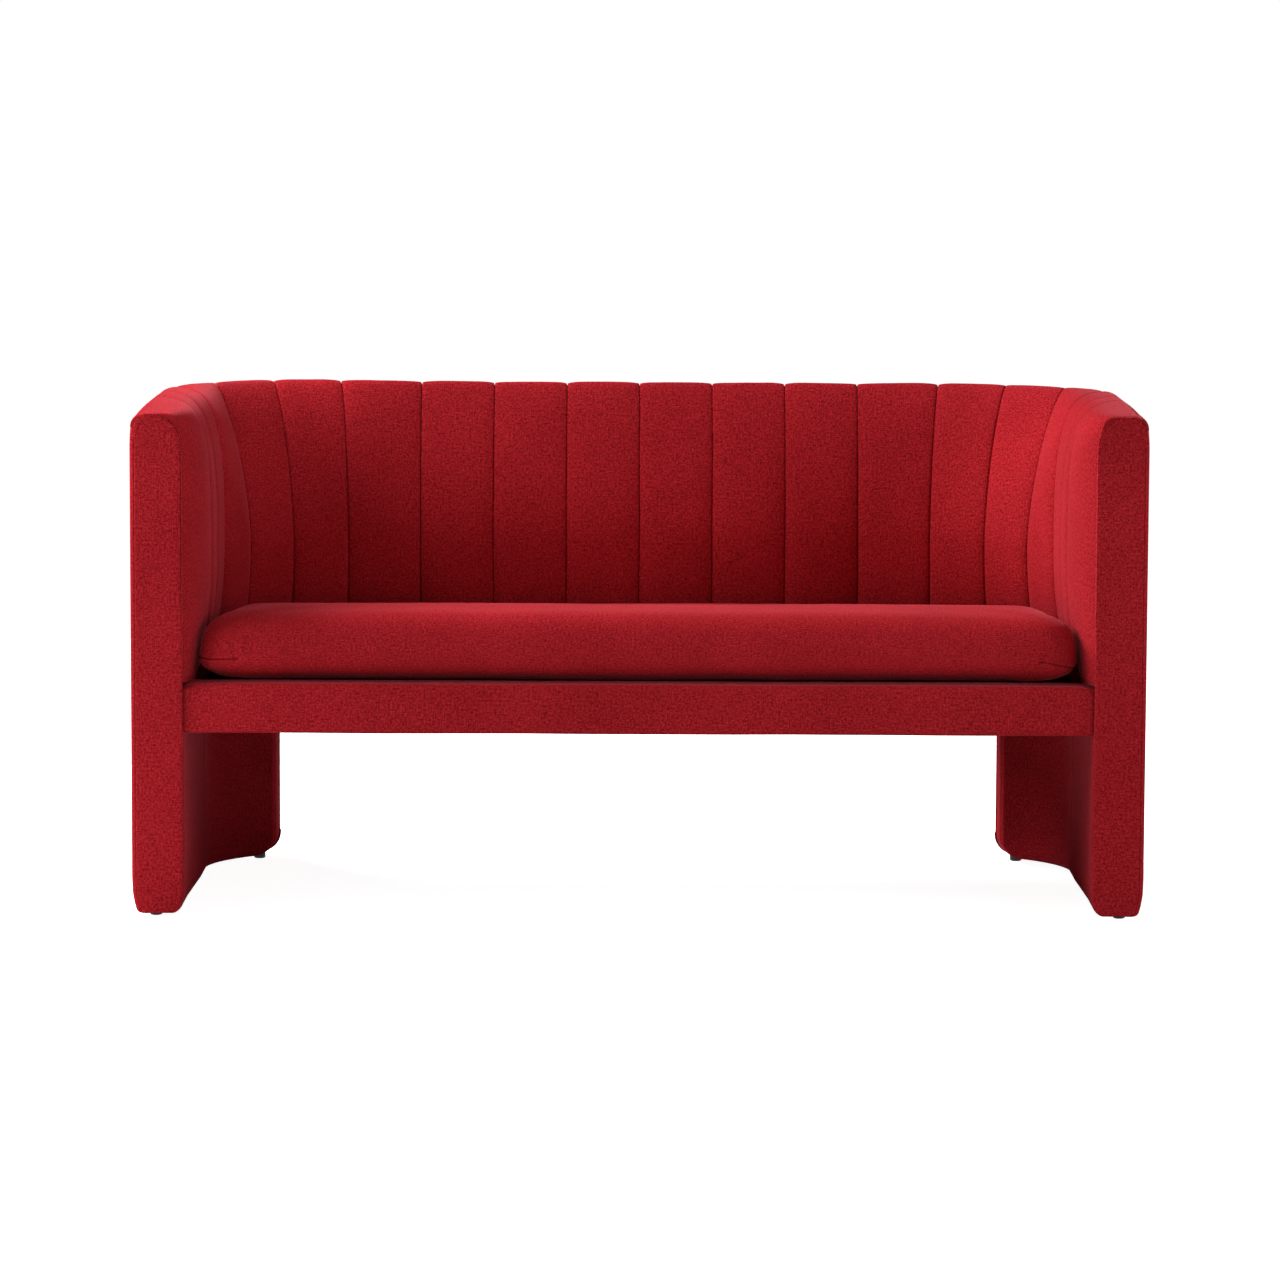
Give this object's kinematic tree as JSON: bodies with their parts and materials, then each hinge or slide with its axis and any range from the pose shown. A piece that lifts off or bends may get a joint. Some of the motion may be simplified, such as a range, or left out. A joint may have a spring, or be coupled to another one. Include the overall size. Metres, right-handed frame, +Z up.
{
  "type": "two-seat sofa",
  "caption": "Red upholstered two-seat tub sofa: curved wrap-around back and arms with vertical channels, legs formed by the shell, covered seat rail and one loose seat cushion.",
  "frame": {"origin": "on the floor, under the middle of the sofa's outline", "axes": "+X to the sofa's right as seen from the front, +Y from the front to the back, +Z up; the seat faces -Y"},
  "size_m": [1.48, 0.68, 0.75],
  "materials": {
    "red_wool": "fine woven wool cloth, matt",
    "deck_cloth": "thin woven cloth",
    "zip_tape": "woven tape with moulded teeth",
    "black_cloth": "thin non-woven cloth",
    "webbing": "woven elastic webbing",
    "foam_and_felt": "soft foam and felt",
    "birch_ply": "bare bent birch plywood",
    "beech_wood": "planed beech",
    "glide_plastic": "black moulded plastic",
    "steel": "zinc-plated steel"
  },
  "bodies": {
    "frame": {"base_rib_left": "birch_ply", "base_rib_right": "birch_ply", "seat_rib": "birch_ply", "middle_rib": "birch_ply", "top_rib": "birch_ply", "outer_skin": "birch_ply", "inner_skin": "birch_ply", "leg_skin_left": "birch_ply", "leg_skin_right": "birch_ply", "front_post_left": "beech_wood", "front_post_right": "beech_wood", "leg_end_stud_left": "beech_wood", "leg_end_stud_right": "beech_wood", "leg_studs": "beech_wood", "arm_studs": "beech_wood", "back_studs": "beech_wood", "seat_front_rail": "beech_wood", "seat_back_rail": "beech_wood", "seat_side_rail_left": "beech_wood", "seat_side_rail_right": "beech_wood", "seat_corner_rail_left": "beech_wood", "seat_corner_rail_right": "beech_wood", "rail_bolts": "steel", "glide_screws": "steel", "long_webbing": "webbing", "cross_webbing": "webbing", "deck_felt": "foam_and_felt", "deck_cloth": "deck_cloth", "dust_cover": "black_cloth", "base_strip_left": "black_cloth", "base_strip_right": "black_cloth", "rail_cover": "red_wool", "outer_back_cover": "red_wool", "outer_side_cover_left": "red_wool", "outer_side_cover_right": "red_wool", "leg_inner_cover_left": "red_wool", "leg_inner_cover_right": "red_wool", "leg_end_cover_left": "red_wool", "leg_end_cover_right": "red_wool", "front_facing_left": "red_wool", "front_facing_right": "red_wool", "back_pad": "red_wool", "arm_pad_left": "red_wool", "arm_pad_right": "red_wool", "glide_front_left": "glide_plastic", "glide_front_right": "glide_plastic", "glide_rear_left": "glide_plastic", "glide_rear_right": "glide_plastic"},
    "seat_cushion": {"cushion_core": "foam_and_felt", "cushion_cover": "red_wool", "zip_tape": "zip_tape"},
    "zip_slider": {"zip_slider": "steel"}
  },
  "joints": [
    {"name": "cushion_pull_out", "type": "slide", "parent": "frame", "child": "seat_cushion", "axis": [0, -1, 0], "range_m": [0, 0.62]},
    {"name": "zip_run", "type": "slide", "parent": "seat_cushion", "child": "zip_slider", "axis": [1, 0, 0], "range_m": [0, 0.548]}
  ]
}
